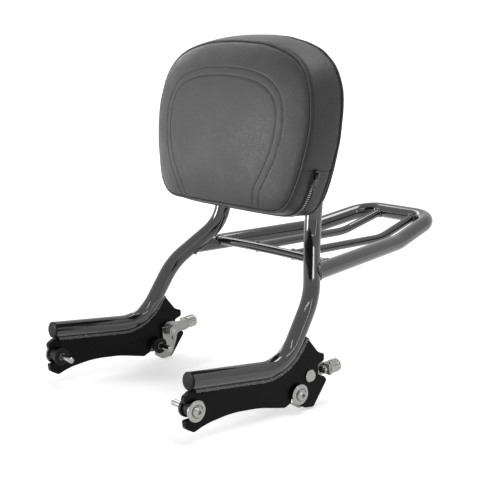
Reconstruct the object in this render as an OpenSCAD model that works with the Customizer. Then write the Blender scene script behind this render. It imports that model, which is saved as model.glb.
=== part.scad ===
// Detachable passenger backrest with luggage rack.
// +X is the left of the bike, -Y its front, +Z up. Millimetres.

/* [Main tubes] */
// Diameter of the hoop and rack loop tube
tube_d = 22; // [18:1:28]
// Wall of the hoop and rack loop tube
tube_wall = 2; // [1.2:0.2:3]
// Half distance between the two lower legs
leg_x = 150; // [110:1:180]
// Half distance between the two uprights behind the pad
upright_x = 92.5; // [60:1:120]
// Rearward lean of the uprights and pad in degrees
lean = 4.6; // [0:0.2:15]
// Height of the hoop top above the bend at the uprights
hoop_top = 222; // [150:1:260]

/* [Rack] */
// Diameter of the inner bars and the crossbar
bar_d = 12; // [8:0.5:16]
// Half distance between the two inner bars
bar_x = 38; // [20:1:60]
// Half width of the rack at its rear corners
rack_rear_x = 65; // [50:1:110]
// Length of the rack from the bend of the hoop to its rear tube
rack_len = 313; // [240:1:360]
// Rise of the rack behind its kink
rack_rise = 21; // [0:1:60]

/* [Pad] */
// Width of the pad
pad_w = 308; // [220:1:340]
// Height of the pad
pad_h = 210; // [160:1:260]
// Thickness of the pad at its edge
pad_t = 54; // [30:1:80]
// Crown of the front face
pad_crown = 16; // [2:1:24]

/* [Docking] */
// Thickness of the side plates
plate_t = 6; // [4:0.5:8]
// Distance between the front and rear docking spools
dock_pitch = 161.5; // [120:1:200]
// Diameter of the spool necks
spool_d = 17; // [12:0.5:22]
// Diameter of the polished cap washers
cap_d = 26; // [20:0.5:34]
// Diameter of the docking screws
screw_d = 8; // [6:1:10]

/* [Latch] */
// Thickness of the latch levers
lever_t = 4; // [3:0.5:6]
// Diameter of the latch knobs
knob_d = 17.5; // [12:0.5:22]
// Length of the latch knobs
knob_len = 17.5; // [15:1:35]
// Diameter of the latch pivot head
pivot_head_d = 16; // [12:0.5:20]

/* [Hidden] */
$fn = 48;

// Row frame: the middle of the box in Y and its lowest point
y_off = -59.5;
z_off = 138.5;

gap = 0.3;
tr = tube_d / 2;
br = bar_d / 2;
sl = tan(lean);

// Corners of the left half of the hoop, from the front end of the lower leg
P0 = [leg_x, -195, -66.95];
P1 = [leg_x, -50, -79.5];
P2 = [leg_x - 5, 0, 0];
P3 = [upright_x, 49, 62.5];
P4 = [upright_x, 49 + sl * hoop_top, 62.5 + hoop_top];
HOOP = [P0, P1, P2, P3, P4, mx(P4), mx(P3), mx(P2), mx(P1), mx(P0)];
HOOP_R = [0, 58, 80, 58, 45, 45, 58, 80, 58, 0];

// Corners of the left half of the rack loop, from its joint with the hoop
RJ = P2 + (P3 - P2) * 0.385;
RR = [rack_rear_x, rack_len, 34.4 + rack_rise];
RK = [RR[0] + (RJ[0] - RR[0]) * 0.35, rack_len - 95, 34.4];
LOOP = [RJ, RK, RR, mx(RR), mx(RK), mx(RJ)];
LOOP_R = [0, 90, 38, 38, 90, 0];

// Inner bars: at the crossbar, at the kink, at the rear tube
B0 = [bar_x - 1, 64, 30];
B1 = [bar_x, rack_len - 79, 32];
B2 = [bar_x - 5, rack_len, 34.4 + rack_rise];

// Docking spools and latch, as Y and Z in the plane of the plate
rear_dock = [-29.8, -116.2];
front_dock = [-29.8 - dock_pitch * cos(5), -116.2 + dock_pitch * sin(5)];
pivot = [-9.5, -97];
plate_in = leg_x - plate_t / 2;
plate_out = leg_x + plate_t / 2;
lever_x = plate_in - 0.4 - lever_t;
knob_y = 20.2;
knob_z = -94.6;
knob_tilt = 6;

function mx(p) = [-p[0], p[1], p[2]];
function unit(v) = v / norm(v);

// A bend of radius r at corner b between a and c: [angle, start, end, centre, inward, along]
function bend(a, b, c, r) =
    let (u = unit(b - a), w = unit(c - b), ang = acos(u * w), t = r * tan(ang / 2),
        n = unit(w - (w * u) * u), s = b - u * t)
    [ang, s, b + w * t, s + n * r, n, u];

// Corner list with a radius each, as points of a closed outline: [y, z, radius]
function fillet(p, k = 5) = [
    for (i = [0 : len(p) - 1])
        let (a = xy(p[(i + len(p) - 1) % len(p)]), b = xy(p[i]), c = xy(p[(i + 1) % len(p)]), r = p[i][2])
        for (q = r <= 0 ? [b] : corner(a, b, c, r, k)) q];
function xy(p) = [p[0], p[1]];
function corner(a, b, c, r, k) =
    let (u = unit(b - a), w = unit(c - b), ang = acos(max(-1, min(1, u * w))), t = r * tan(ang / 2),
        n = unit(w - (w * u) * u), s = b - u * t, o = s + n * r)
    [for (j = [0 : k]) o - n * r * cos(ang * j / k) + u * r * sin(ang * j / k)];

module place() translate([0, y_off, z_off]) children();
module right() mirror([1, 0, 0]) children();

module rod(a, b, r) {
    d = b - a;
    translate(a) rotate([0, acos(d[2] / norm(d)), atan2(d[1], d[0])]) cylinder(h = norm(d), r = r);
}

module pipe(a, b, r, ri) {
    d = b - a;
    translate(a) rotate([0, acos(d[2] / norm(d)), atan2(d[1], d[0])])
        if (ri > 0) difference() {
            cylinder(h = norm(d), r = r);
            translate([0, 0, -1]) cylinder(h = norm(d) + 2, r = ri);
        } else cylinder(h = norm(d), r = r);
}

module elbow(f, big, r, ri) {
    x = -f[4];
    y = f[5];
    z = cross(x, y);
    o = f[3];
    multmatrix([[x[0], y[0], z[0], o[0]], [x[1], y[1], z[1], o[1]], [x[2], y[2], z[2], o[2]], [0, 0, 0, 1]])
        rotate_extrude(angle = f[0]) translate([big, 0]) difference() {
            circle(r = r);
            if (ri > 0) circle(r = ri);
        }
}

// A bent tube through the corners p with the bend radii rad. A hair-thin ring joins each straight to its bend.
module bent(p, rad, r, ri = 0) {
    n = len(p);
    e = 0.02;
    for (i = [0 : n - 2]) {
        a = i == 0 ? p[0] : bend(p[i - 1], p[i], p[i + 1], rad[i])[2];
        b = i == n - 2 ? p[n - 1] : bend(p[i], p[i + 1], p[i + 2], rad[i + 1])[1];
        u = unit(b - a);
        pipe(a + (i == 0 ? 0 : e) * u, b - (i == n - 2 ? 0 : e) * u, r, ri);
        if (i > 0) pipe(a - 0.6 * u, a + 0.6 * u, r + e, ri - (ri > 0 ? e : 0));
        if (i < n - 2) pipe(b - 0.6 * u, b + 0.6 * u, r + e, ri - (ri > 0 ? e : 0));
    }
    for (i = [1 : n - 2]) elbow(bend(p[i - 1], p[i], p[i + 1], rad[i]), rad[i], r, ri);
}

// Flat outline in Y and Z, from x0 to x1
module slab(x0, x1) translate([x0, 0, 0]) rotate([90, 0, 90]) linear_extrude(x1 - x0) children();
// Cylinder along X at a Y, Z point
module xcyl(p, x0, x1, r) translate([x0, p[0], p[1]]) rotate([0, 90, 0]) cylinder(h = x1 - x0, r = r);
// Turned shape along X: profile points are [x, radius]
module turned(p, prof) translate([0, p[0], p[1]]) rotate([0, 90, 0]) rotate_extrude()
    polygon([for (q = prof) [q[1], q[0]]]);

module hoop() color("#17181a") place()
    bent(HOOP, HOOP_R, tr, tr - tube_wall);

// Plug pushed into the front end of a lower leg
module plug() {
    d = unit(P0 - P1);
    translate(P0) rotate([0, acos(d[2]), atan2(d[1], d[0])]) rotate_extrude() polygon([
        [0, -14], [tr - tube_wall - 1.6, -14], [tr - tube_wall - 0.1, -11], [tr - tube_wall - 0.1, gap],
        [tr, gap], [tr, 1.1], [tr - 0.5, 1.8], [tr - 3, 2.6], [0, 3.2]]);
}
module end_plug_left() color("#202022") place() plug();
module end_plug_right() color("#202022") place() right() plug();

// Top edge of the plate, along the underside of the lower leg and its bend
leg_u = unit([P1[1] - P0[1], P1[2] - P0[2]]);
leg_w = unit([P2[1] - P1[1], P2[2] - P1[2]]);
leg_a = acos(leg_u * leg_w);
leg_n = unit(leg_w - (leg_w * leg_u) * leg_u);
leg_s = [P1[1], P1[2]] - leg_u * (HOOP_R[1] * tan(leg_a / 2));
leg_d = tr + 0.5;
function out_dir(a) = leg_u * sin(a) - leg_n * cos(a);
TOP = concat([[P0[1] + 7, P0[2]] - leg_n * leg_d],
    [for (j = [0 : 12]) leg_s + leg_n * HOOP_R[1] + out_dir(leg_a * j / 12) * (HOOP_R[1] + leg_d)],
    [[P1[1], P1[2]] + leg_w * 47 + out_dir(leg_a) * leg_d]);
PLATE = concat([[5, -70, 14], [14.6, -72.5, 3.5], [14.6, -81.5, 2.5], [4, -85.5, 3.5],
    [5, -102, 4], [15, -102.2, 2.5], [19.5, -108, 3], [-3, -138.8, 5],
    [-18.6, -136.8, 1.5], [-20.4, -116, 0], [-39.2, -116, 0], [-40.6, -125.6, 2], [-51, -130, 6],
    [-60, -128.2, 20], [-92, -121.2, 150], [-135, -117.8, 150], [-176, -122.8, 100], [-191, -129, 6],
    [-203, -122.5, 6], [-204.5, -112.6, 2], [-190.7, -111.5, 0], [-190.7, -92.7, 0], [-203.6, -92.7, 2.5],
    [-206, -84.8, 5], [-197, -79.4, 3]],
    [for (q = TOP) [q[0], q[1], 0]]);

module plate() difference() {
    slab(plate_in, plate_out) polygon(fillet(PLATE));
    // Round ends of the two docking notches
    xcyl(front_dock, plate_in - 1, plate_out + 1, spool_d / 2 + 0.9);
    xcyl(rear_dock, plate_in - 1, plate_out + 1, spool_d / 2 + 0.9);
    // Pivot hole of the latch
    xcyl(pivot, plate_in - 1, plate_out + 1, screw_d / 2 + 0.05);
}
module side_plate_left() color("#1a1a1c") place() plate();
module side_plate_right() color("#1a1a1c") place() right() plate();

module rack_loop() color("#17181a") place() difference() {
    bent(LOOP, LOOP_R, tr, tr - tube_wall);
    rod(P2, P3, tr + gap);
    rod(mx(P2), mx(P3), tr + gap);
}

// Crossbar: one shallow arc, its middle towards the rear
cross_r = 830;
module cross_arc(r) translate([0, 65 - cross_r, 30]) rotate([0, 0, 90 - 8.5])
    rotate_extrude(angle = 17, $fn = 360) translate([cross_r, 0]) circle(r = r, $fn = 48);
module rack_crossbar() color("#17181a") place() difference() {
    cross_arc(br);
    rod(RJ, RK, tr + gap);
    rod(mx(RJ), mx(RK), tr + gap);
    // What stands past the rails
    for (s = [-1, 1]) translate([s * 140, 55, 30]) cube([40, 60, 40], center = true);
}

module rack_bar() difference() {
    bent([B0, B1, B2], [0, 90, 0], br - 0.1);
    cross_arc(br + gap);
    rod(RR, mx(RR), tr + 1);
}
module rack_bar_left() color("#17181a") place() rack_bar();
module rack_bar_right() color("#17181a") place() right() rack_bar();

// Frame of the pad: origin at its lower back edge, X across, Y to the rear, Z up along the lean
pad_z = 103;
back_y = 49 + sl * (pad_z - 62.5) - (tr + 8.2) / cos(lean);
module pad_frame() translate([0, back_y, pad_z]) rotate([-lean, 0, 0]) children();

// Outline of the pad seen from the front, right half, from the top middle
hw = pad_w / 2;
pad_drop = 4;
PAD_HALF = [[0, 1.0], [0.28, 0.992], [0.46, 0.973], [0.62, 0.943], [0.75, 0.903], [0.855, 0.845],
    [0.925, 0.775], [0.97, 0.69], [0.993, 0.6], [1.0, 0.52], [0.993, 0.44], [0.975, 0.36], [0.95, 0.28],
    [0.92, 0.205], [0.885, 0.135], [0.85, 0.083], [0.80, 0.042], [0.735, 0.016], [0.65, 0.004], [0.4, 0]];
// s and t: shares of its width and height
function pad_up(p, t) = (0.5 + (p[1] - 0.5) * t) * pad_h - pad_drop;
function pad_line(s, t) = concat(
    [for (p = PAD_HALF) [p[0] * hw * s, pad_up(p, t)]],
    [for (i = [len(PAD_HALF) - 1 : -1 : 1]) [-PAD_HALF[i][0] * hw * s, pad_up(PAD_HALF[i], t)]]);

// Rings of the cushion from its wider back to the crown: shares of the outline, a depth and a lean.
// The front leans back more than the board, so the pad is thicker at its foot.
pad_wedge = 4;
PAD_RINGS = concat([[1.006, 1.05, 0, 0], [1.022, 1.073, 4, 0]],
    [for (s = [1, 0.97, 0.92, 0.85, 0.74, 0.58, 0.35]) [s, s, pad_t + pad_crown * (1 - pow(s, 5)), pad_wedge]]);
module pad_cushion() color("#2b2b2d") place() pad_frame() hull()
    for (q = PAD_RINGS) translate([0, -q[2], pad_h / 2]) rotate([-q[3], 0, 0]) translate([0, 0, -pad_h / 2])
        rotate([90, 0, 0]) linear_extrude(0.1) polygon(pad_line(q[0], q[1]));

module pad_board() color("#1c1c1c") place() pad_frame() difference() {
    translate([0, 4 + gap, 0]) rotate([90, 0, 0]) linear_extrude(4) polygon(pad_line(0.96, 1));
    pad_holes(2.6, 0, 5);
}
pad_hole_x = 62;
strap_z = [42, 150];
module pad_holes(r, y0, y1) for (x = [-pad_hole_x, pad_hole_x], z = strap_z)
    translate([x, y1, z]) rotate([90, 0, 0]) cylinder(h = y1 - y0, r = r, $fn = 32);

// Flat strap across the fronts of the two uprights
module strap(z) difference() {
    pad_frame() translate([-upright_x - 4, 4.6, z - 12.5]) cube([2 * upright_x + 8, 3, 25]);
    pad_frame() pad_holes(3.1, 4, 8);
}
module pad_strap_upper() color("#17181a") place() strap(strap_z[1]);
module pad_strap_lower() color("#17181a") place() strap(strap_z[0]);

module pad_screws() color("#b9bbbd") place() pad_frame()
    for (x = [-pad_hole_x, pad_hole_x], z = strap_z) translate([x, 0, z]) rotate([-90, 0, 0]) difference() {
        union() {
            translate([0, 0, 0.6]) cylinder(h = 8, r = 2.4);
            translate([0, 0, 7.9]) cylinder(h = 1.2, r = 6.5);
            translate([0, 0, 9.1]) cylinder(h = 3, r1 = 5, r2 = 4);
        }
        translate([0, 0, 10.2]) linear_extrude(3) circle(r = 2.3, $fn = 6);
    }

// Zip slider on the left side band, and its hanging pull
zip_x = 0.905 * hw + 9;
zip_z = 47;
zip_back = 34;
module zip_slider() color("#8a8c8e") place() pad_frame() translate([zip_x, -zip_back, zip_z]) rotate([0, 16, 0]) {
    difference() {
        translate([-1.6, -4, -6]) cube([3.2, 8, 12]);
        for (s = [-1, 1]) translate([0, s * 4.6, -7]) cylinder(h = 4, r = 2);
    }
    // Bridge that holds the pull
    difference() {
        translate([1.6, -1.2, -3.5]) cube([3.2, 2.4, 7.5]);
        translate([2.6, -2, -2.2]) cube([1.2, 4, 5]);
    }
}
// The pull turns on its own round bar, in the window of the bridge
module zip_pull() color("#8a8c8e") place() pad_frame() translate([zip_x, -zip_back, zip_z]) rotate([0, 16, 0])
    translate([3.2, 0, 1.6]) {
        difference() {
            union() {
                translate([-0.5, -3, -17.6]) cube([1, 6, 17.6]);
                translate([-0.5, 0, -17.6]) rotate([0, 90, 0]) cylinder(h = 1, r = 3);
            }
            translate([-1, -1.5, -5.5]) cube([2, 3, 6]);
            translate([-1, 0, -16.2]) rotate([0, 90, 0]) cylinder(h = 2, r = 1.4);
        }
        rotate([90, 0, 0]) cylinder(h = 6, r = 0.55, center = true);
    }

// Docking hardware along X: spool in the notch, cap washer outside, shouldered screw through both
neck_r = screw_d / 2 + 0.5;
spool_in = lever_x - 1.2;
cap_in = plate_out + 3;
module spool(p) turned(p, [[spool_in - 5, neck_r + gap], [spool_in - 5, 10.4], [spool_in - 4.3, 11.3], [spool_in - 0.6, 11.3],
    [spool_in, 10.7], [spool_in, spool_d / 2], [cap_in - gap, spool_d / 2], [cap_in - gap, neck_r + gap]]);
module cap(p) turned(p, [[cap_in, neck_r + gap], [cap_in, cap_d / 2 - 0.6], [cap_in + 0.6, cap_d / 2],
    [cap_in + 2.2, cap_d / 2], [cap_in + 3.4, cap_d / 2 - 1.6], [cap_in + 3.4, 8.4], [cap_in + 2.9, 7.9],
    [cap_in + 2.9, neck_r + gap]]);
screw_in = spool_in - 5 - 24;
// Where the shoulder of the screw ends and its thread for the bike starts
neck_x = spool_in - 5 - 0.2;
head_x = cap_in + 2.9 + gap;
module dock_screw(p) difference() {
    turned(p, [[screw_in, 0], [screw_in, screw_d / 2 - 0.8], [screw_in + 1, screw_d / 2],
        [neck_x, screw_d / 2], [neck_x, neck_r], [head_x - 0.1, neck_r], [head_x - 0.1, 6.9], [head_x + 0.7, 7.2], [head_x + 2.2, 6.7],
        [head_x + 3.5, 5.3], [head_x + 4.3, 3.6], [head_x + 4.5, 0]]);
    translate([head_x + 1.6, p[0], p[1]]) rotate([0, 90, 0]) linear_extrude(4) circle(r = 2.9, $fn = 6);
}
module four() for (p = [front_dock, rear_dock], s = [0, 1]) mirror([s, 0, 0]) {
    $p = p;
    children();
}
module dock_spools() color("#222224") place() four() spool($p);
module dock_caps() color("#c9cacc") place() four() cap($p);
module dock_screws() color("#d2d3d5") place() four() dock_screw($p);

LEVER = [[-32.1, -124.6, 0], [-34, -130.8, 3], [-22, -138.2, 9], [-6, -136.4, 11], [3, -112, 8],
    [4, -103.2, 6], [knob_y + 0.2, -102.2, 0], [knob_y + 1.4, -87.6, 0], [4, -88.4, 6], [-2, -85.6, 6],
    [-15, -85.4, 8], [-22, -96, 8], [-20.5, -109, 0], [-29.8, -116.2, 0]];
module lever() {
    difference() {
        slab(lever_x, lever_x + lever_t) polygon(fillet(LEVER));
        xcyl(rear_dock, lever_x - 1, lever_x + lever_t + 1, spool_d / 2 + 0.4);
        xcyl(pivot, lever_x - 1, lever_x + lever_t + 1, screw_d / 2 + 0.06);
        // Relief for the round head of the knob screw
        knob_axis() translate([0, 0, -8]) cylinder(h = 8.5, r = 5.4);
    }
    // Ear turned outward behind the plate, with the hole of the knob screw
    difference() {
        translate([lever_x, knob_y, knob_z]) rotate([knob_tilt, 0, 0]) translate([0, 0, -7])
            cube([leg_x + 7 - lever_x, 3.4, 14]);
        knob_axis() translate([0, 0, -2]) cylinder(h = 8, r = 2.6, $fn = 32);
    }
}
module knob_axis() translate([leg_x, knob_y, knob_z]) rotate([-90 + knob_tilt, 0, 0]) children();
module latch_lever_left() color("#a9abad") place() lever();
module latch_lever_right() color("#a9abad") place() right() lever();

// Fluted knob behind the ear
module knob() knob_axis() translate([0, 0, 3.4 + gap]) difference() {
    rotate_extrude() polygon([[0, 0], [knob_d / 2 - 1, 0], [knob_d / 2, 1], [knob_d / 2, knob_len - 3],
        [knob_d / 2 - 0.8, knob_len - 1.2], [knob_d / 2 - 2.6, knob_len], [0, knob_len + 0.3]]);
    translate([0, 0, -1]) cylinder(h = 13, r = 2.15, $fn = 32);
    for (a = [0 : 60 : 300]) rotate([0, 0, a + 20]) translate([knob_d / 2 + 0.8, 0, 5]) {
        cylinder(h = knob_len - 9.5, r = 2.7, $fn = 24);
        sphere(r = 2.7, $fn = 24);
        translate([0, 0, knob_len - 9.5]) sphere(r = 2.7, $fn = 24);
    }
}
module latch_knob_left() color("#cfd0d2") place() knob();
module latch_knob_right() color("#cfd0d2") place() right() knob();

// Screw that holds the knob, its round head in the notch of the plate
module knob_screw() knob_axis() difference() {
    union() {
        translate([0, 0, -gap - 4.6]) rotate_extrude()
            polygon([[0, 0], [3.6, 0], [4.6, 0.5], [5, 1.6], [5, 4.6], [0, 4.6]]);
        translate([0, 0, -gap - 0.1]) cylinder(h = 14.6, r = 2, $fn = 32);
    }
    translate([0, 0, -gap - 5]) linear_extrude(3) circle(r = 2.3, $fn = 6);
}
module latch_screw_left() color("#d2d3d5") place() knob_screw();
module latch_screw_right() color("#d2d3d5") place() right() knob_screw();

pin_in = lever_x - 11;
module pin() turned(pivot, [[pin_in, 0], [pin_in, screw_d / 2 - 0.8], [pin_in + 0.8, screw_d / 2],
    [plate_out + gap, screw_d / 2], [plate_out + gap, pivot_head_d / 2], [plate_out + 1.9, pivot_head_d / 2],
    [plate_out + 3.1, pivot_head_d / 2 - 1.2], [plate_out + 3.1, 5], [plate_out + 2.8, 4.6], [plate_out + 2.8, 0]]);
module latch_pin_left() color("#c9cacc") place() pin();
module latch_pin_right() color("#c9cacc") place() right() pin();

module nut() difference() {
    union() {
        translate([lever_x - 9.6, pivot[0], pivot[1]]) rotate([0, 90, 0]) linear_extrude(3.6) circle(r = 7.5, $fn = 6);
        xcyl(pivot, lever_x - 6.1, lever_x - 5.3, 8.4);
    }
    xcyl(pivot, lever_x - 12, lever_x - 4, screw_d / 2 + 0.03);
}
module latch_nut_left() color("#b9bbbd") place() nut();
module latch_nut_right() color("#b9bbbd") place() right() nut();

// Close-wound return spring round the pin, its coils touching
module spring() {
    turned(pivot, concat(
        [for (i = [0 : 2], t = [170 : -20 : 10]) [lever_x - 4.2 + i * 1.5 - 0.8 * cos(180 - t), 5.7 + 0.8 * sin(t)]],
        [[lever_x - 0.4, 5.2], [lever_x - 5, 5.2]]));
    rod([lever_x - 1.2, pivot[0] + 5.8, pivot[1] + 1], [lever_x - 1.2, pivot[0] + 5.8, pivot[1] - 16], 0.7);
    rod([lever_x - 4.2, pivot[0] + 1, pivot[1] + 5.8], [lever_x - 4.2, pivot[0] - 16, pivot[1] + 5.8], 0.7);
}
module latch_spring_left() color("#9fa1a3") place() spring();
module latch_spring_right() color("#9fa1a3") place() right() spring();

hoop();
end_plug_left();
end_plug_right();
side_plate_left();
side_plate_right();
rack_loop();
rack_crossbar();
rack_bar_left();
rack_bar_right();
pad_cushion();
pad_board();
pad_strap_upper();
pad_strap_lower();
pad_screws();
zip_slider();
zip_pull();
dock_spools();
dock_caps();
dock_screws();
latch_lever_left();
latch_lever_right();
latch_knob_left();
latch_knob_right();
latch_screw_left();
latch_screw_right();
latch_pin_left();
latch_pin_right();
latch_nut_left();
latch_nut_right();
latch_spring_left();
latch_spring_right();
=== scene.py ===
"""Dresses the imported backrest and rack.

Makes the cushion cover, piping, stitching, zip and weld beads, gives every part its finish
and sets the stage.
"""

import math

import bpy
from mathutils import Matrix, Vector
from mathutils.kdtree import KDTree


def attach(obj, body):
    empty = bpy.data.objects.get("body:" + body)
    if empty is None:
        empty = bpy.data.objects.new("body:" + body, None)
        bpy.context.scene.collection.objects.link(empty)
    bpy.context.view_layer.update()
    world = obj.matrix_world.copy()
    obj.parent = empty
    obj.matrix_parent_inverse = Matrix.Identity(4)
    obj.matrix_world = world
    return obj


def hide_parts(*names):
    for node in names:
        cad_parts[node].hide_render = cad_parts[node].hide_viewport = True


bl_info = {
    "name": "Passenger backrest with luggage rack",
    "version": (1, 0, 0),
    "blender": (4, 5, 0),
    "location": "3D View > Sidebar > Backrest",
    "description": "Cushion, stitching, zip, weld beads and finishes for a detachable backrest with rack",
    "category": "Object",
}

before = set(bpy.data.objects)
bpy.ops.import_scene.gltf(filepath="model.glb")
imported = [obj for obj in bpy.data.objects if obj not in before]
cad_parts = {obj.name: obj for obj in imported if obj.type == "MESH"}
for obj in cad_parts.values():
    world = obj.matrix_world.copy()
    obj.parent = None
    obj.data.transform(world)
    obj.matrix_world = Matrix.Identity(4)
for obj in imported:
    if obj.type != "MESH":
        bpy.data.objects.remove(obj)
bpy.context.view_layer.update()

# The part's own frame sits this far from its drawing origin, in metres
PLACE = Vector((0.0, -0.0595, 0.1385))
LEAN = math.radians(4.6)

# Cushion: half width and height of the front, how far it hangs below the foot, edge thickness and crown
PAD_HALF_W = 0.154
PAD_H = 0.210
PAD_DROP = 0.004
PAD_EDGE = 0.054
PAD_CROWN = 0.016
PAD_MIDDLE = PAD_H / 2 - PAD_DROP
# The front leans back more than the board, by this slope
PAD_WEDGE = math.tan(math.radians(3.4))
# How much the back's outline widens with height, and how far it stands above the front's
BACK_FLARE = 0.10
BACK_RISE = 0.0022
PAD_FOOT = Vector((0.0, 0.0330, 0.103))
# The cover starts this far in front of its board
BOARD_GAP = 0.0006
# The +X half of the outline from its top middle, as shares of the half width and height
PAD_HALF = [
    (0, 1.0), (0.28, 0.992), (0.46, 0.973), (0.62, 0.943), (0.75, 0.903), (0.855, 0.845), (0.925, 0.775),
    (0.97, 0.69), (0.993, 0.6), (1.0, 0.52), (0.993, 0.44), (0.975, 0.36), (0.95, 0.28), (0.92, 0.205),
    (0.885, 0.135), (0.85, 0.083), (0.80, 0.042), (0.735, 0.016), (0.65, 0.004), (0.4, 0), (0, 0),
]
# Outer stitch line on the +X half of the front, from its top middle to the lower piping, in metres
STITCH_HALF = [
    (0, 0.172), (0.035, 0.1705), (0.06, 0.167), (0.082, 0.1605), (0.097, 0.152), (0.108, 0.1405),
    (0.1145, 0.127), (0.117, 0.111), (0.1165, 0.092), (0.1125, 0.072), (0.105, 0.052), (0.095, 0.034),
    (0.085, 0.017), (0.080, 0.000),
]
STITCH_GAP = 0.0105
# Seams are laid on the cover along straight lines that start this far in front of it and beside it
CAST_FRONT = 0.06
CAST_SIDE = 0.25
# Rings of the cover's band: shares of the outline across and up, and a depth
BAND_RINGS = [
    (1.010, 1.070, 0.0), (1.024, 1.084, 0.003), (1.029, 1.084, 0.014), (1.024, 1.062, 0.032),
    (1.012, 1.016, PAD_EDGE),
]
# The front's rings, shrinking toward its middle
FRONT_SHARES = (0.985, 0.965, 0.94, 0.91, 0.87, 0.82, 0.74, 0.62, 0.45, 0.25)
# Size of the cover's mesh before it is refined
COVER_MESH = 0.0059
# How far the piping stands outside the outline and out of the cover, and the front one's share upward
PIPING_OUT = 0.0012
PIPING_LIFT = 0.0009
PIPING_TALL = 1.012
# How deep and how wide the cover is drawn in along the front piping, the back piping and a stitch line
FRONT_SEAM = (0.0022, 0.0034)
BACK_SEAM = (0.0016, 0.0034)
SEWN_SEAM = (0.0006, 0.0014)
# The piping holds the cover this far to each side while pressure fills it for a number of frames
HELD = 0.007
FILL_PRESSURE = 4.0
FILL_FRAMES = 20
# One stitch: radius of the thread, how far its ends dip, and how far it lies above the cover
THREAD_R = 0.00045
STITCH_DIP = 0.0005
STITCH_LIFT = 0.0003
# Zip on the side band: depth of its line, height of its top, half the width of its tape, radius of the
# tape's lips, and length, width and height of a tooth
ZIP_DEPTH = 0.034
ZIP_TOP = 0.050
TAPE_HALF = 0.0042
LIP_R = 0.0011
TOOTH = (0.0016, 0.0042, 0.0016)
# How far the teeth and the lips lie above the cover
TOOTH_LIFT = 0.0007
LIP_LIFT = 0.0002

# Tubes and their joints, as in the part
TUBE_R = 0.011
BAR_R = 0.006
LEG_X = 0.150
UPRIGHT_X = 0.0925
PLATE_HALF = 0.003
P0 = Vector((LEG_X, -0.195, -0.06695))
P1 = Vector((LEG_X, -0.050, -0.0795))
P2 = Vector((LEG_X - 0.005, 0.0, 0.0))
P3 = Vector((UPRIGHT_X, 0.049, 0.0625))
LEG_BEND = 0.058
# The rails leave the slanted tubes at this share of their length, and have done this share of their
# inward run where they kick up
RAIL_SHARE = 0.385
KINK_SHARE = 0.35
RACK_HALF = 0.065
RAIL_JOINT = P2 + (P3 - P2) * RAIL_SHARE
RACK_END = Vector((RACK_HALF, 0.313, 0.0554))
RAIL_KINK = Vector((RACK_HALF + (RAIL_JOINT.x - RACK_HALF) * KINK_SHARE, 0.218, 0.0344))
CROSS_Z = 0.030
CROSS_ARC = 0.830
CROSS_MID_Y = 0.065
CROSS_END_Y = 0.0555
# Inner bars: distance from the middle at the front, at the kink and at the rear, and the kink's place
BAR_X = (0.037, 0.038, 0.033)
BAR_KINK_BACK = 0.079
BAR_KINK_Z = 0.032
# Straps: their heights on the pad, half their width, and the depth of their rear face
STRAP_HEIGHTS = (("upper", 0.150), ("lower", 0.042))
STRAP_HALF = 0.0128
STRAP_BACK = -0.0076
# How far a weld bead lies out of the plate, below the leg, out of a rail's joint and out of a bar's joint
BEAD_OUT = 0.0006
BEAD_BELOW = 0.0008
RAIL_SEAT = (0.0004, 0.0002)
BAR_SEAT = 0.0003
# Shares of the bead's radius at the plates, the crossbar, and the bars and straps
PLATE_BEAD = 1.25
CROSS_BEAD = 0.85
SMALL_BEAD = 0.8
# The plates' beads start this far behind the leg's front end and run this far up the slanted tube
BEAD_START = 0.006
BEAD_RISE = 0.046

# Soft lamps: place, size and power in watts. All point at the middle of the part.
LAMPS = (
    ("key_softbox", (-1.45, -2.5, 0.5), (0.9, 1.0), 54),
    ("side_strip", (2.3, 0.2, 0.9), (0.12, 1.8), 5),
    ("top_strip", (1.5, -1.4, 2.2), (1.6, 0.14), 7),
    ("far_softbox", (-2.2, 0.4, 1.6), (0.8, 1.6), 16),
    ("top_softbox", (0.2, 0.6, 2.6), (1.4, 0.8), 30),
)
LIT_POINT = Vector((0, 0, 0.25))
WORLD_LIGHT = 0.32
# The floor glows for the camera and for reflections: how strongly near and far, and at which distances
FLOOR_GLOW = (0.4, 1.0, 0.6, 3.0)

# The photograph's camera, in the drawing's frame
CAMERA_PLACE = Vector((1.1829, -0.9703, 0.3367))
CAMERA_RIGHT = Vector((0.6433, 0.7656, -0.0034))
CAMERA_BACK = Vector((0.7519, -0.6309, 0.1912))
CAMERA_LENS = 84.6


def row(p):
    """A point of the part's drawing, in the row frame."""
    return Vector(p) + PLACE


def pad(x, depth, z):
    """A point of the pad: x across, depth forward of its back, z up along its lean."""
    c, s = math.cos(LEAN), math.sin(LEAN)
    return row(PAD_FOOT + Vector((x, -depth * c + z * s, depth * s + z * c)))


PAD_ACROSS = Vector((1, 0, 0))
PAD_BACK = Vector((0, math.cos(LEAN), -math.sin(LEAN)))
PAD_UP = Vector((0, math.sin(LEAN), math.cos(LEAN)))


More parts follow.
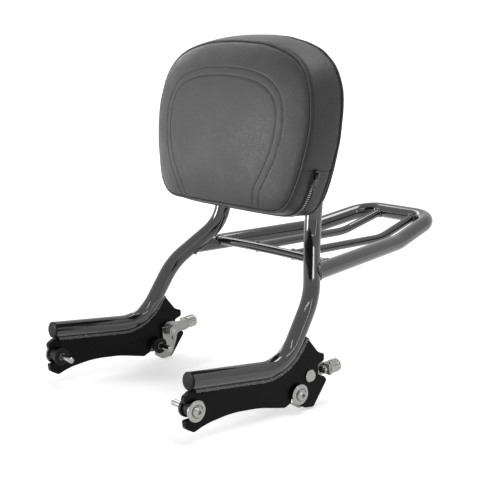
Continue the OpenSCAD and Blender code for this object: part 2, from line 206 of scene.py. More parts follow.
class BackrestSizes(bpy.types.PropertyGroup):
    """Sizes a user would change."""

    piping_radius: bpy.props.FloatProperty(
        name="Piping radius", description="Radius of the welt round the cushion", default=0.0018,
        subtype="DISTANCE", unit="LENGTH")
    stitch_length: bpy.props.FloatProperty(
        name="Stitch length", description="Length of one stitch", default=0.0034,
        subtype="DISTANCE", unit="LENGTH")
    stitch_pitch: bpy.props.FloatProperty(
        name="Stitch pitch", description="Distance from stitch to stitch", default=0.0044,
        subtype="DISTANCE", unit="LENGTH")
    bead_radius: bpy.props.FloatProperty(
        name="Weld bead radius", description="Half the width of a weld bead", default=0.0024,
        subtype="DISTANCE", unit="LENGTH")
    tooth_pitch: bpy.props.FloatProperty(
        name="Zip tooth pitch", description="Distance from tooth to tooth", default=0.0028,
        subtype="DISTANCE", unit="LENGTH")
    swell: bpy.props.FloatProperty(
        name="Swell", description="The most that the filling pushes the cover out", default=0.006,
        subtype="DISTANCE", unit="LENGTH")


class BackrestColours(bpy.types.PropertyGroup):
    """Colours a user would change."""

    paint: bpy.props.FloatVectorProperty(
        name="Paint", description="Gloss paint of the tubes", subtype="COLOR", size=3,
        default=(0.006, 0.006, 0.0065))
    plate: bpy.props.FloatVectorProperty(
        name="Plates", description="Coating of the side plates", subtype="COLOR", size=3,
        default=(0.005, 0.005, 0.0058))
    cover: bpy.props.FloatVectorProperty(
        name="Cover", description="Leatherette of the cushion", subtype="COLOR", size=3,
        default=(0.022, 0.022, 0.0225))
    steel: bpy.props.FloatVectorProperty(
        name="Polished steel", description="Cap washers, screws and knobs", subtype="COLOR", size=3,
        default=(0.34, 0.34, 0.325))


def sizes():
    return bpy.context.scene.backrest_sizes


def colours():
    return bpy.context.scene.backrest_colours


# Materials

def blank(name):
    """A new node material and its shader."""
    mat = bpy.data.materials.new(name)
    mat.use_nodes = True
    return mat, mat.node_tree.nodes["Principled BSDF"]


def object_noise(mat, scale, detail=2.0, stretch=(1, 1, 1)):
    """Noise on object coordinates."""
    nodes, links = mat.node_tree.nodes, mat.node_tree.links
    where = nodes.new("ShaderNodeTexCoord")
    turn = nodes.new("ShaderNodeMapping")
    turn.inputs["Scale"].default_value = stretch
    noise = nodes.new("ShaderNodeTexNoise")
    noise.inputs["Scale"].default_value = scale
    noise.inputs["Detail"].default_value = detail
    links.new(where.outputs["Object"], turn.inputs["Vector"])
    links.new(turn.outputs["Vector"], noise.inputs["Vector"])
    return noise.outputs["Fac"]


def spread(mat, source, low, high, start=0.3, end=0.7):
    """source spread from low to high."""
    node = mat.node_tree.nodes.new("ShaderNodeMapRange")
    node.inputs["From Min"].default_value = start
    node.inputs["From Max"].default_value = end
    node.inputs["To Min"].default_value = low
    node.inputs["To Max"].default_value = high
    mat.node_tree.links.new(source, node.inputs["Value"])
    return node.outputs["Result"]


def bump(mat, shader, height, distance, strength=1.0):
    """Adds height to the shader's normal, on top of what is there."""
    node = mat.node_tree.nodes.new("ShaderNodeBump")
    node.inputs["Distance"].default_value = distance
    node.inputs["Strength"].default_value = strength
    mat.node_tree.links.new(height, node.inputs["Height"])
    old = shader.inputs["Normal"].links
    if old:
        mat.node_tree.links.new(old[0].from_socket, node.inputs["Normal"])
    mat.node_tree.links.new(node.outputs["Normal"], shader.inputs["Normal"])


def paint(name, colour, rough, gloss, coat, peel):
    """Sprayed or powder paint with a little orange peel."""
    mat, shader = blank(name)
    shader.inputs["Base Color"].default_value = (*colour, 1)
    shader.inputs["Specular IOR Level"].default_value = gloss
    shader.inputs["Coat Weight"].default_value = coat
    shader.inputs["Coat Roughness"].default_value = 0.04
    mat.node_tree.links.new(
        spread(mat, object_noise(mat, 35, 3), rough * 0.85, rough * 1.2), shader.inputs["Roughness"])
    bump(mat, shader, object_noise(mat, 420, 1), peel)
    return mat


def metal(name, colour, rough, grain, stretch=(1, 1, 1)):
    """Bare or plated metal with fine working marks."""
    mat, shader = blank(name)
    shader.inputs["Base Color"].default_value = (*colour, 1)
    shader.inputs["Metallic"].default_value = 1.0
    mat.node_tree.links.new(
        spread(mat, object_noise(mat, 90, 3), rough * 0.75, rough * 1.3), shader.inputs["Roughness"])
    bump(mat, shader, object_noise(mat, 1400, 1, stretch), grain)
    return mat


def plastic(name, colour, rough, grain):
    """Moulded plastic with a fine spark-eroded grain."""
    mat, shader = blank(name)
    shader.inputs["Specular IOR Level"].default_value = 0.12
    shader.inputs["Base Color"].default_value = (*colour, 1)
    mat.node_tree.links.new(
        spread(mat, object_noise(mat, 60, 2), rough * 0.9, rough * 1.15), shader.inputs["Roughness"])
    bump(mat, shader, object_noise(mat, 1800, 2), grain)
    return mat


def leatherette(name, colour):
    """Embossed cover material: small pebbles with creases between them, and soft large waves. Its colour is
    darker in the creases as painted shade and lighter on the pebble tops as painted light.
    """
    mat, shader = blank(name)
    nodes, links = mat.node_tree.nodes, mat.node_tree.links
    where = nodes.new("ShaderNodeTexCoord")
    cells = nodes.new("ShaderNodeTexVoronoi")
    cells.feature = "DISTANCE_TO_EDGE"
    cells.inputs["Scale"].default_value = 620
    links.new(where.outputs["Object"], cells.inputs["Vector"])
    pebble = spread(mat, cells.outputs["Distance"], 0.0, 1.0, 0.0, 0.22)
    # Painted shade and light: the colour drops to 0.72 of the cover in the creases and rises to 1.08 on the
    # pebble tops
    painted_crease_shade = nodes.new("ShaderNodeMix")
    painted_crease_shade.data_type = "RGBA"
    painted_crease_shade.inputs[6].default_value = tuple(c * 0.72 for c in colour) + (1,)
    painted_crease_shade.inputs[7].default_value = tuple(c * 1.08 for c in colour) + (1,)
    links.new(pebble, painted_crease_shade.inputs[0])
    links.new(painted_crease_shade.outputs[2], shader.inputs["Base Color"])
    links.new(spread(mat, object_noise(mat, 22, 3), 0.36, 0.46), shader.inputs["Roughness"])
    shader.inputs["Specular IOR Level"].default_value = 0.38
    shader.inputs["Sheen Weight"].default_value = 0.03
    shader.inputs["Sheen Roughness"].default_value = 0.45
    bump(mat, shader, object_noise(mat, 26, 3), 0.0012, 0.5)
    bump(mat, shader, pebble, 0.00014, 0.8)
    return mat


def woven(name, colour):
    """Tape with a fine weave across the width."""
    mat, shader = blank(name)
    shader.inputs["Base Color"].default_value = (*colour, 1)
    shader.inputs["Roughness"].default_value = 0.85
    bump(mat, shader, object_noise(mat, 1500, 1, (1, 4, 1)), 0.0003)
    return mat


def material(kind):
    """One of this object's finishes, made once."""
    name = "finish_" + kind
    found = bpy.data.materials.get(name)
    if found:
        return found
    c = colours()
    made = {
        "gloss_black_paint": lambda n: paint(n, c.paint, 0.10, 0.72, 0.3, 0.00003),
        "plate_coating": lambda n: paint(n, c.plate, 0.30, 0.08, 0.0, 0.00004),
        "cover_leatherette": lambda n: leatherette(n, c.cover),
        # Painted shade: the piping's leatherette is the cover's colour darkened to 0.4, standing in for the
        # shade of the groove it lies in
        "piping_painted_shade": lambda n: leatherette(n, [v * 0.4 for v in c.cover]),
        "polished_steel": lambda n: metal(n, c.steel, 0.2, 0.00002),
        "zinc_plate": lambda n: metal(n, (0.27, 0.27, 0.26), 0.30, 0.00003, (1, 1, 6)),
        "plug_plastic": lambda n: plastic(n, (0.004, 0.004, 0.004), 0.42, 0.00004),
        "spool_plastic": lambda n: plastic(n, (0.014, 0.014, 0.015), 0.45, 0.00004),
        "board_plastic": lambda n: plastic(n, (0.02, 0.02, 0.02), 0.6, 0.00009),
        "dark_nickel": lambda n: metal(n, (0.08, 0.08, 0.085), 0.28, 0.00003),
        "sewing_thread": lambda n: woven(n, (0.008, 0.008, 0.008)),
        "zip_tape": lambda n: woven(n, (0.012, 0.012, 0.012)),
        "zip_teeth": lambda n: metal(n, (0.30, 0.30, 0.30), 0.35, 0.00002),
    }[kind]
    return made(name)


NODE_FINISH = {
    "gloss_black_paint": ["hoop", "rack_loop", "rack_crossbar", "rack_bar_left", "rack_bar_right",
                          "pad_strap_upper", "pad_strap_lower"],
    "plate_coating": ["side_plate_left", "side_plate_right"],
    "plug_plastic": ["end_plug_left", "end_plug_right"],
    "board_plastic": ["pad_board"],
    "spool_plastic": ["dock_spools"],
    "dark_nickel": ["zip_slider", "zip_pull"],
    "polished_steel": ["dock_caps", "dock_screws", "latch_knob_left", "latch_knob_right", "latch_screw_left",
                       "latch_screw_right", "latch_pin_left", "latch_pin_right"],
    "zinc_plate": ["pad_screws", "latch_lever_left", "latch_lever_right", "latch_nut_left", "latch_nut_right",
                   "latch_spring_left", "latch_spring_right"],
}


# Shapes

def deselect():
    for o in bpy.context.selected_objects:
        o.select_set(False)


def only(obj):
    """Selects obj alone and makes it active."""
    deselect()
    obj.select_set(True)
    bpy.context.view_layer.objects.active = obj


def settle(obj, name, finish, body="frame", smooth=40):
    """Names a finished piece, gives it its finish and lets it ride on its body."""
    only(obj)
    bpy.ops.object.transform_apply(location=True, rotation=True, scale=True)
    bpy.ops.object.shade_smooth_by_angle(angle=math.radians(smooth))
    obj.name = name
    obj.data.name = name
    obj.data.materials.clear()
    obj.data.materials.append(material(finish))
    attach(obj, body)
    return obj


def smooth_line(points, step, closed=False):
    """Points along a Catmull-Rom curve through the given ones, step apart."""
    p = [Vector(q) for q in points]
    n = len(p)
    fine = []
    for i in range(n if closed else n - 1):
        a, b, c, d = [p[(i + k) % n] if closed else p[min(max(i + k, 0), n - 1)] for k in (-1, 0, 1, 2)]
        for j in range(12):
            t = j / 12
            fine.append(0.5 * (2 * b + (c - a) * t + (2 * a - 5 * b + 4 * c - d) * t * t
                               + (3 * b - a - 3 * c + d) * t ** 3))
    fine.append(p[0] if closed else p[-1])
    return even(fine, step, closed)


def even(line, step, closed=False):
    """The same line with points the same distance apart."""
    run = [0.0]
    for a, b in zip(line, line[1:]):
        run.append(run[-1] + (b - a).length)
    count = max(2, round(run[-1] / step))
    out, k = [], 0
    for i in range(count if closed else count + 1):
        s = run[-1] * i / count
        while k < len(run) - 2 and run[k + 1] < s:
            k += 1
        span = run[k + 1] - run[k]
        out.append(line[k].lerp(line[k + 1], (s - run[k]) / span if span else 0))
    return out


def cord_shape(points, radius, closed=False, swell=None, sides=3):
    """A round cord through points, as a mesh object. swell gives each point's share of the radius."""
    deselect()
    bpy.ops.curve.primitive_nurbs_path_add()
    obj = bpy.context.object
    curve = obj.data
    curve.splines.clear()
    line = curve.splines.new("POLY")
    line.points.add(len(points) - 1)
    for i, p in enumerate(points):
        line.points[i].co = (*p, 1)
        line.points[i].radius = swell(i) if swell else 1.0
    line.use_cyclic_u = closed
    curve.bevel_depth = radius
    curve.bevel_resolution = sides
    curve.use_fill_caps = True
    only(obj)
    bpy.ops.object.convert(target="MESH")
    return bpy.context.object


def joined(objects):
    """The objects as one, with the first one's name."""
    only(objects[0])
    for o in objects:
        o.select_set(True)
    bpy.ops.object.join()
    return bpy.context.object


def outline(grow=0.0, step=0.006, across=1.0, up=1.0):
    """The cushion's outline from the front as (x, z) points, grown outward by grow, evenly spaced."""
    right = [Vector((x * PAD_HALF_W * across, (0.5 + (z - 0.5) * up) * PAD_H - PAD_DROP, 0))
             for x, z in PAD_HALF]
    left = [Vector((-p.x, p.y, 0)) for p in reversed(right[1:-1])]
    line = smooth_line(right + left, step, closed=True)
    out = []
    n = len(line)
    for i, p in enumerate(line):
        along = (line[(i + 1) % n] - line[i - 1]).normalized()
        out.append(p + Vector((-along.y, along.x, 0)) * grow)
    return out


def on_cover(cover, point, lift=0.0):
    """The nearest place on the cover, lifted off it, and the cover's normal there."""
    hit, place, normal, _ = cover.closest_point_on_mesh(point)
    if not hit:
        raise RuntimeError("a seam point missed the cover")
    return place + normal * lift, normal


def front_depth(z):
    """Depth of the front panel's edge at a height."""
    return PAD_EDGE - (z - PAD_H / 2) * PAD_WEDGE


def piping_lines():
    """Front and back piping lines, along the edges of the front panel and the back."""
    across, up, depth = BAND_RINGS[1]
    front = [pad(p.x, front_depth(p.y), p.y) for p in outline(PIPING_OUT, up=PIPING_TALL)]
    back = [pad(p.x * back_width(p.y - PAD_MIDDLE), depth, p.y + BACK_RISE)
            for p in outline(PIPING_OUT, across=across, up=up)]
    return front, back


def back_width(up):
    """The share by which the back's outline is wider at a height above the cushion's middle."""
    return 1 + BACK_FLARE * up / PAD_H


def laid_piping(cover, line):
    """A piping line laid on the cover and smoothed along its run."""
    places = [on_cover(cover, p, PIPING_LIFT)[0] for p in even(line, 0.004, closed=True)]
    n = len(places)
    for _ in range(3):
        places = [(places[i - 1] + places[i] * 2 + places[(i + 1) % n]) / 4 for i in range(n)]
    return places


def seen_from(cover, point, way, lift=0.0):
    """Where a straight line from point along way meets the cover, lifted, and the normal there."""
    hit, place, normal, _ = cover.ray_cast(point, way)
    if not hit:
        raise RuntimeError("a stitch line missed the cover")
    return place + normal * lift, normal


def stitch_lines():
    """Outer and inner stitch lines, well in front of the cover."""
    half = [Vector((x, z, 0)) for x, z in STITCH_HALF]
    whole = smooth_line([Vector((-p.x, p.y, 0)) for p in reversed(half[1:])] + half, 0.004)
    inner = []
    for i, p in enumerate(whole):
        a, b = whole[max(i - 1, 0)], whole[min(i + 1, len(whole) - 1)]
        along = (b - a).normalized()
        inner.append(p + Vector((along.y, -along.x, 0)) * STITCH_GAP)
    inner = [q for q in inner if q.y > 0]
    return [[pad(p.x, PAD_EDGE + CAST_FRONT, p.y) for p in line] for line in (whole, inner)]


def zip_line(step):
    """The zip's run on the side band: down the +X side, along the bottom and up the other side."""
    ring = outline(0.0, step)
    return even([p for p in ring if p.y < ZIP_TOP], step)


def band_seams():
    """The short cross seam on each side of the band, well outside the cover, and the way inward."""
    seams = []
    for side in (1, -1):
        z = ZIP_TOP + 0.002
        run = front_depth(z) - 0.008
        seams.append(([pad(side * CAST_SIDE, 0.004 + run * i / 12, z) for i in range(13)], -side * PAD_ACROSS))
    return seams


def sewn_lines(cover, pitch, lift=0.0):
    """Every stitch line by name, laid on the cover: a list of places and normals."""
    outer, inner = stitch_lines()
    left, right = band_seams()
    runs = [("stitches_outer", outer, PAD_BACK), ("stitches_inner", inner, PAD_BACK)]
    runs += [("stitches_band_left", *left), ("stitches_band_right", *right)]
    return [(name, [seen_from(cover, p, way, lift) for p in even(line, pitch)]) for name, line, way in runs]


def cover_rings():
    """Rings of the cover from its back to its crown: shares of the outline across and up, and a depth."""
    return BAND_RINGS + [(share, share, PAD_EDGE + PAD_CROWN * (1 - share ** 6)) for share in FRONT_SHARES]


def make_cover():
    """The cushion cover: swollen by a short cloth simulation, then drawn in along its seams."""
    ring = outline(0.0, 0.006)
    rings = cover_rings()
    deselect()
    bpy.ops.mesh.primitive_circle_add(vertices=len(ring), fill_type="NGON")
    obj = bpy.context.object
    # The circle's corners run the other way round than the outline
    for v, p in zip(obj.data.vertices, reversed(ring)):
        v.co = (p.x * rings[0][0], (p.y - PAD_MIDDLE) * rings[0][1], 0)
    bpy.ops.object.mode_set(mode="EDIT")
    bpy.ops.mesh.select_all(action="SELECT")
    for (across, up, depth), (wider, taller, deeper) in zip(rings, rings[1:]):
        bpy.ops.mesh.extrude_region_move(TRANSFORM_OT_translate={"value": (0, 0, deeper - depth)})
        bpy.ops.transform.resize(value=(wider / across, taller / up, 1), center_override=(0, 0, 0))
    bpy.ops.mesh.select_all(action="SELECT")
    bpy.ops.mesh.normals_make_consistent(inside=False)
    bpy.ops.object.mode_set(mode="OBJECT")
    turn = Matrix((
        (1, 0, 0, 0), (0, PAD_UP.y, -PAD_BACK.y, 0), (0, PAD_UP.z, -PAD_BACK.z, 0), (0, 0, 0, 1)))
    for v in obj.data.vertices:
        front = min(v.co.z / PAD_EDGE, 1)
        v.co.x *= 1 + (back_width(v.co.y) - 1) * (1 - front)
        v.co.z -= v.co.y * PAD_WEDGE * front
        v.co.y += BACK_RISE * (1 - front)
    obj.data.transform(Matrix.Translation(pad(0, BOARD_GAP, PAD_MIDDLE)) @ turn)
    only(obj)
    remesh = obj.modifiers.new("even mesh", "REMESH")
    remesh.mode = "VOXEL"
    remesh.voxel_size = COVER_MESH
    bpy.ops.object.modifier_apply(modifier=remesh.name)
    fill_out(obj)
    only(obj)
    soft = obj.modifiers.new("taut", "SMOOTH")
    soft.iterations = 6
    bpy.ops.object.modifier_apply(modifier=soft.name)
    for _ in range(2):
        finer = obj.modifiers.new("finer", "SUBSURF")
        finer.levels = finer.render_levels = 1
        bpy.ops.object.modifier_apply(modifier=finer.name)
    draw_in(obj)
    return obj


def near_lines(lines):
    """A search tree over the points of some lines."""
    points = [p for line in lines for p in line]
    tree = KDTree(len(points))
    for i, p in enumerate(points):
        tree.insert(p, i)
    tree.balance()
    return tree


def fill_out(obj):
    """Lets the filling push the cover out between its piped seams, no point further than the swell."""
    start = [v.co.copy() for v in obj.data.vertices]
    seams = near_lines([even(line, 0.002) for line in piping_lines()])
    held = obj.vertex_groups.new(name="held by the piping")
    held.add([v.index for v in obj.data.vertices if seams.find(v.co)[2] < HELD], 1.0, "REPLACE")
    cloth = obj.modifiers.new("filling", "CLOTH")
    cloth.settings.use_pressure = True
    cloth.settings.uniform_pressure_force = FILL_PRESSURE
    cloth.settings.vertex_group_mass = held.name
    cloth.settings.effector_weights.gravity = 0.0
    for f in range(1, FILL_FRAMES + 1):
        bpy.context.scene.frame_set(f)
    only(obj)
    bpy.ops.object.modifier_apply(modifier=cloth.name)
    bpy.context.scene.frame_set(1)
    most = sizes().swell
    for v, s in zip(obj.data.vertices, start):
        d = v.co - s
        if d.length > most:
            v.co = s + d * (most / d.length)


def draw_in(obj):
    """Flattens the back on its board and draws the cover in along its seams."""
    back = pad(0, BOARD_GAP, 0)
    for v in obj.data.vertices:
        over = (v.co - back).dot(PAD_BACK)
        if over > 0:
            v.co -= PAD_BACK * over
    front, rear = piping_lines()
    laid = [(even(front, 0.0015), *FRONT_SEAM), (even(rear, 0.0015), *BACK_SEAM)]
    laid += [([place for place, _ in line], *SEWN_SEAM) for _, line in sewn_lines(obj, 0.0012)]
    normals = [v.normal.copy() for v in obj.data.vertices]
    moves = [0.0] * len(normals)
    for line, deep, wide in laid:
        tree = near_lines([line])
        for i, v in enumerate(obj.data.vertices):
            near = tree.find(v.co)[2]
            if near < 3 * wide:
                moves[i] = max(moves[i], deep * math.exp(-(near / wide) ** 2))
    for v, n, m in zip(obj.data.vertices, normals, moves):
        v.co -= n * m


def beads_along(line, normals, make, name):
    """One copy of a small piece at each point of the line, turned along it, as one mesh."""
    first = make()
    copies = []
    for i, p in enumerate(line):
        a, b = line[max(i - 1, 0)], line[min(i + 1, len(line) - 1)]
        along = (b - a).normalized()
        up = (normals[i] - along * normals[i].dot(along)).normalized()
        across = up.cross(along)
        one = first.copy()
        one.data = first.data.copy()
        one.data.transform(Matrix.Translation(p) @ Matrix((along, across, up)).transposed().to_4x4())
        bpy.context.collection.objects.link(one)
        copies.append(one)
    bpy.data.objects.remove(first)
    whole = joined(copies)
    whole.name = name
    return whole


def stitch_piece():
    """One stitch: a short thread that dips at its ends."""
    deselect()
    bpy.ops.mesh.primitive_cylinder_add(vertices=8, radius=THREAD_R, depth=sizes().stitch_length,
                                        rotation=(0, math.pi / 2, 0))
    obj = bpy.context.object
    bpy.ops.object.transform_apply(location=True, rotation=True, scale=True)
    bpy.ops.object.mode_set(mode="EDIT")
    bpy.ops.mesh.select_all(action="SELECT")
    bpy.ops.mesh.bevel(offset=0.0002, segments=1)
    bpy.ops.object.mode_set(mode="OBJECT")
    half = sizes().stitch_length / 2
    for v in obj.data.vertices:
        v.co.z -= STITCH_DIP * (v.co.x / half) ** 2
    return obj


def tooth_piece():
    """One zip tooth: a small block with a rounded top."""
    deselect()
    bpy.ops.mesh.primitive_cube_add(size=1, scale=TOOTH)
    obj = bpy.context.object
    bpy.ops.object.transform_apply(location=True, rotation=True, scale=True)
    bpy.ops.object.mode_set(mode="EDIT")
    bpy.ops.mesh.select_all(action="SELECT")
    bpy.ops.mesh.bevel(offset=0.0004, segments=2)
    bpy.ops.object.mode_set(mode="OBJECT")
    return obj


# Weld beads

def ripple(i):
    """The scales that a weld bead has along its run."""
    return 1.0 + 0.17 * math.sin(i * 1.9) + 0.09 * math.sin(i * 0.7) + 0.07 * math.sin(i * 3.1)


def saddle(joint, main, main_r, branch, branch_r, count=40):
    """The line where a branch tube leaves a main tube: joint on the main axis, branch pointing away."""
    main = main.normalized()
    branch = branch.normalized()
    e1 = branch.cross(main).normalized()
    e2 = branch.cross(e1)
    side = branch - main * branch.dot(main)
    line = []
    for k in range(count):
        a = 2 * math.pi * k / count
        r0 = (e1 * math.cos(a) + e2 * math.sin(a)) * branch_r
        flat = r0 - main * r0.dot(main)
        qa, qb, qc = side.dot(side), 2 * flat.dot(side), flat.dot(flat) - main_r ** 2
        t = (-qb + math.sqrt(max(qb * qb - 4 * qa * qc, 0))) / (2 * qa)
        line.append(joint + r0 + branch * t)
    return line


def leg_edge(offset, x, side):
    """The line along the underside of a lower leg and its bend, offset from the tube's axis."""
    u = Vector((0, P1.y - P0.y, P1.z - P0.z)).normalized()
    w = Vector((0, P2.y - P1.y, P2.z - P1.z)).normalized()
    angle = u.angle(w)
    n = (w - u * w.dot(u)).normalized()
    start = Vector((0, P1.y, P1.z)) - u * LEG_BEND * math.tan(angle / 2)
    line = [Vector((0, P0.y + BEAD_START, P0.z)) - n * offset]
    for j in range(13):
        a = angle * j / 12
        out = u * math.sin(a) - n * math.cos(a)
        line.append(start + n * LEG_BEND + out * (LEG_BEND + offset))
    below = (u * math.sin(angle) - n * math.cos(angle)) * offset
    line.append(Vector((0, P1.y, P1.z)) + w * BEAD_RISE + below)
    return [row((side * x, p.y, p.z)) for p in even(line, 0.0016)]


def mirrored(line, side):
    """A line drawn for the +X side, on the side asked for."""
    return [Vector((side * p.x, p.y, p.z)) for p in line]


def weld(line, name, closed=False, scale=1.0):
    """A rippled weld bead along a line, its radius scaled."""
    bead = cord_shape(line, sizes().bead_radius * scale, closed, ripple, 2)
    return settle(bead, name, "gloss_black_paint", smooth=60)


# Operators

class BACKREST_OT_finishes(bpy.types.Operator):
    """Give every part that keeps its drawn shape its finish"""

    bl_idname = "backrest.finishes"
    bl_label = "Finishes"

    def execute(self, context):
        for kind, names in NODE_FINISH.items():
            for name in names:
                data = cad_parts[name].data
                data.materials.clear()
                data.materials.append(material(kind))
        return {"FINISHED"}


class BACKREST_OT_cushion(bpy.types.Operator):
    """Make the cushion cover with its piping"""

    bl_idname = "backrest.cushion"
    bl_label = "Cushion"

    def execute(self, context):
        cover = settle(make_cover(), "cushion_cover", "cover_leatherette", smooth=80)
        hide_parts("pad_cushion")
        for name, line in zip(("piping_front", "piping_back"), piping_lines()):
            welt = cord_shape(laid_piping(cover, line), sizes().piping_radius, True, None, 3)
            # The piping gets the darkened leatherette, a painted shade of its groove
            settle(welt, name, "piping_painted_shade", smooth=80)
        return {"FINISHED"}


class BACKREST_OT_stitching(bpy.types.Operator):
    """Sew the two stitch lines on the front and the seams of the band"""

    bl_idname = "backrest.stitching"
    bl_label = "Stitching"

    def execute(self, context):
        cover = bpy.data.objects["cushion_cover"]
        for name, laid in sewn_lines(cover, sizes().stitch_pitch, STITCH_LIFT):
            sewn = beads_along([p for p, _ in laid], [n for _, n in laid], stitch_piece, name)
            settle(sewn, name, "sewing_thread", smooth=60)
        return {"FINISHED"}


class BACKREST_OT_zip(bpy.types.Operator):
    """Lay the zip's tape and teeth on the side band"""

    bl_idname = "backrest.zip"
    bl_label = "Zip"

    def execute(self, context):
        cover = bpy.data.objects["cushion_cover"]
        run = zip_line(sizes().tooth_pitch)
        laid = [on_cover(cover, pad(p.x, ZIP_DEPTH, p.y), TOOTH_LIFT) for p in run]
        teeth = beads_along([p for p, _ in laid], [n for _, n in laid], tooth_piece, "zip_teeth")
        settle(teeth, "zip_teeth", "zip_teeth", smooth=30)
        for k, shift in enumerate((-TAPE_HALF, TAPE_HALF)):
            edge = [on_cover(cover, pad(p.x, ZIP_DEPTH + shift, p.y), LIP_LIFT)[0] for p in run]
            lip = cord_shape(even(edge, 0.004), LIP_R, False, None, 2)
            settle(lip, f"zip_lip_{k + 1}", "zip_tape", smooth=60)
        return {"FINISHED"}


class BACKREST_OT_welds(bpy.types.Operator):
    """Run the weld beads where tubes, bars, plates and straps meet"""

    bl_idname = "backrest.welds"
    bl_label = "Weld beads"

    def execute(self, context):
        for word, side in (("left", 1), ("right", -1)):
            out = PLATE_HALF + BEAD_OUT
            for face, x in (("outer", LEG_X + out), ("inner", LEG_X - out)):
                weld(leg_edge(TUBE_R + BEAD_BELOW, x, side), f"weld_plate_{word}_{face}", scale=PLATE_BEAD)
            rail = RAIL_KINK - RAIL_JOINT
            line = saddle(RAIL_JOINT, P3 - P2, TUBE_R + RAIL_SEAT[0], rail, TUBE_R + RAIL_SEAT[1])
            weld([row(p) for p in mirrored(line, side)], f"weld_rail_{word}", True)
            line = self.cross_end(rail)
            weld([row(p) for p in mirrored(line, side)], f"weld_crossbar_{word}", True, CROSS_BEAD)
            bar_y = CROSS_MID_Y - CROSS_ARC + math.sqrt(CROSS_ARC ** 2 - BAR_X[0] ** 2)
            foot = Vector((BAR_X[0], bar_y, CROSS_Z))
            tip = Vector((BAR_X[1], RACK_END.y - BAR_KINK_BACK, BAR_KINK_Z))
            across = Vector((1, -BAR_X[0] / CROSS_ARC, 0))
            line = saddle(foot, across, BAR_R + BAR_SEAT, tip - foot, BAR_R)
            weld([row(p) for p in mirrored(line, side)], f"weld_bar_front_{word}", True, SMALL_BEAD)
            top = Vector((BAR_X[2], RACK_END.y, RACK_END.z))
            line = saddle(top, Vector((1, 0, 0)), TUBE_R + BAR_SEAT, tip - top, BAR_R)
            weld([row(p) for p in mirrored(line, side)], f"weld_bar_rear_{word}", True, SMALL_BEAD)
            for level, z in STRAP_HEIGHTS:
                for edge, dz in (("top", STRAP_HALF), ("foot", -STRAP_HALF)):
                    line = [pad(side * (UPRIGHT_X - 0.006 + 0.0015 * i), STRAP_BACK, z + dz)
                            for i in range(8)]
                    weld(line, f"weld_strap_{level}_{edge}_{word}", False, SMALL_BEAD)
        return {"FINISHED"}

    def cross_end(self, rail):
        """The bead where the crossbar meets the rail on the left."""
        t = (CROSS_END_Y - RAIL_JOINT.y) / rail.y
        x = RAIL_JOINT.x + rail.x * t
        y = CROSS_MID_Y - CROSS_ARC + math.sqrt(CROSS_ARC ** 2 - x ** 2)
        joint = RAIL_JOINT + rail * ((y - RAIL_JOINT.y) / rail.y)
        rise = CROSS_Z - joint.z
        lift = Vector((0, 0, rise))
        inward = Vector((-1, x / CROSS_ARC, 0)).normalized()
        flat = math.sqrt(max((TUBE_R + BAR_SEAT) ** 2 - rise ** 2, 0))
        line = []
        for k in range(30):
            a = 2 * math.pi * k / 30
            up = BAR_R * math.sin(a)
            along = BAR_R * math.cos(a)
            reach = math.sqrt(max((TUBE_R + BAR_SEAT) ** 2 - (rise + up) ** 2, (flat * 0.3) ** 2))
            line.append(joint + lift + Vector((0, 0, up)) + inward * reach + rail.normalized() * along)
        return line


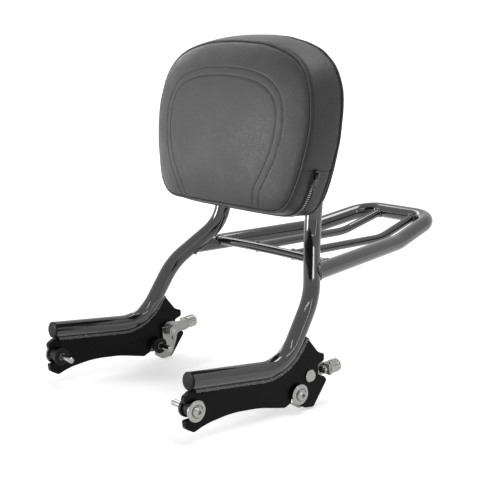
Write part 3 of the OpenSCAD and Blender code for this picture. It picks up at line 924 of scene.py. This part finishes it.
class BACKREST_OT_stage(bpy.types.Operator):
    """Set the pale floor, the soft lights and the camera"""

    bl_idname = "backrest.stage"
    bl_label = "Stage"

    def execute(self, context):
        scene = context.scene
        scene.view_settings.view_transform = "Standard"
        self.backdrop()
        self.world(scene)
        for name, place, size, power in LAMPS:
            self.softbox(scene, name, Vector(place), size, power)
        self.camera(scene)
        return {"FINISHED"}

    def softbox(self, scene, name, place, size, power):
        data = bpy.data.lights.new(name, "AREA")
        data.shape = "RECTANGLE"
        data.size, data.size_y = size
        data.energy = power
        lamp = bpy.data.objects.new(name, data)
        scene.collection.objects.link(lamp)
        lamp.location = place
        lamp.rotation_euler = (LIT_POINT - place).to_track_quat("-Z", "Y").to_euler()

    def backdrop(self):
        deselect()
        bpy.ops.mesh.primitive_plane_add(size=60, location=(0, 0, -0.002))
        floor = bpy.context.object
        floor.name = "studio_floor"
        mat, shader = blank("studio_floor")
        shader.inputs["Base Color"].default_value = (0.9, 0.9, 0.9, 1)
        shader.inputs["Roughness"].default_value = 0.9
        shader.inputs["Specular IOR Level"].default_value = 0.1
        shader.inputs["Emission Color"].default_value = (1, 1, 1, 1)
        nodes, links = mat.node_tree.nodes, mat.node_tree.links
        where = nodes.new("ShaderNodeTexCoord")
        far = nodes.new("ShaderNodeVectorMath")
        far.operation = "LENGTH"
        links.new(where.outputs["Object"], far.inputs[0])
        glow = nodes.new("ShaderNodeMath")
        glow.operation = "MULTIPLY"
        links.new(spread(mat, far.outputs["Value"], *FLOOR_GLOW), glow.inputs[1])
        links.new(self.seen(nodes, links), glow.inputs[0])
        links.new(glow.outputs[0], shader.inputs["Emission Strength"])
        floor.data.materials.append(mat)

    def world(self, scene):
        """White where the camera, a reflection or a refraction sees it, plain grey light otherwise."""
        world = bpy.data.worlds.new("studio")
        scene.world = world
        world.use_nodes = True
        nodes, links = world.node_tree.nodes, world.node_tree.links
        light = nodes["Background"]
        light.inputs["Color"].default_value = (1, 1, 1, 1)
        light.inputs["Strength"].default_value = WORLD_LIGHT
        seen = nodes.new("ShaderNodeBackground")
        seen.inputs["Color"].default_value = (1, 1, 1, 1)
        seen.inputs["Strength"].default_value = 1.0
        mix = nodes.new("ShaderNodeMixShader")
        links.new(self.seen(nodes, links), mix.inputs[0])
        links.new(light.outputs[0], mix.inputs[1])
        links.new(seen.outputs[0], mix.inputs[2])
        links.new(mix.outputs[0], nodes["World Output"].inputs["Surface"])

    def seen(self, nodes, links):
        """1 for what the camera, a reflection or a refraction sees, else 0."""
        path = nodes.new("ShaderNodeLightPath")
        last = path.outputs["Is Camera Ray"]
        for ray in ("Is Glossy Ray", "Is Transmission Ray"):
            more = nodes.new("ShaderNodeMath")
            more.operation = "MAXIMUM"
            links.new(last, more.inputs[0])
            links.new(path.outputs[ray], more.inputs[1])
            last = more.outputs[0]
        return last

    def camera(self, scene):
        data = bpy.data.cameras.new("camera")
        data.lens = CAMERA_LENS
        data.sensor_width = 36
        cam = bpy.data.objects.new("camera", data)
        scene.collection.objects.link(cam)
        right = CAMERA_RIGHT.normalized()
        back = CAMERA_BACK.normalized()
        up = back.cross(right).normalized()
        right = up.cross(back).normalized()
        turn = Matrix((right, up, back)).transposed().to_4x4()
        cam.matrix_world = Matrix.Translation(row(CAMERA_PLACE)) @ turn
        scene.camera = cam


class BACKREST_PT_panel(bpy.types.Panel):
    """Lists the steps"""

    bl_label = "Backrest"
    bl_idname = "BACKREST_PT_panel"
    bl_space_type = "VIEW_3D"
    bl_region_type = "UI"
    bl_category = "Backrest"

    def draw(self, context):
        for group in (context.scene.backrest_sizes, context.scene.backrest_colours):
            for key in group.bl_rna.properties.keys():
                if key not in ("rna_type", "name"):
                    self.layout.prop(group, key)
        for step in STEPS:
            self.layout.operator(step.bl_idname)


STEPS = (
    BACKREST_OT_finishes, BACKREST_OT_cushion, BACKREST_OT_stitching, BACKREST_OT_zip, BACKREST_OT_welds,
    BACKREST_OT_stage,
)
CLASSES = (BackrestSizes, BackrestColours) + STEPS + (BACKREST_PT_panel,)


def register():
    for cls in CLASSES:
        bpy.utils.register_class(cls)
    bpy.types.Scene.backrest_sizes = bpy.props.PointerProperty(type=BackrestSizes)
    bpy.types.Scene.backrest_colours = bpy.props.PointerProperty(type=BackrestColours)


def unregister():
    del bpy.types.Scene.backrest_colours
    del bpy.types.Scene.backrest_sizes
    for cls in reversed(CLASSES):
        bpy.utils.unregister_class(cls)


def main():
    register()
    bpy.ops.backrest.finishes()
    bpy.ops.backrest.cushion()
    bpy.ops.backrest.stitching()
    bpy.ops.backrest.zip()
    bpy.ops.backrest.welds()
    bpy.ops.backrest.stage()
    bpy.context.view_layer.update()
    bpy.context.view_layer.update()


if __name__ == "__main__":
    main()
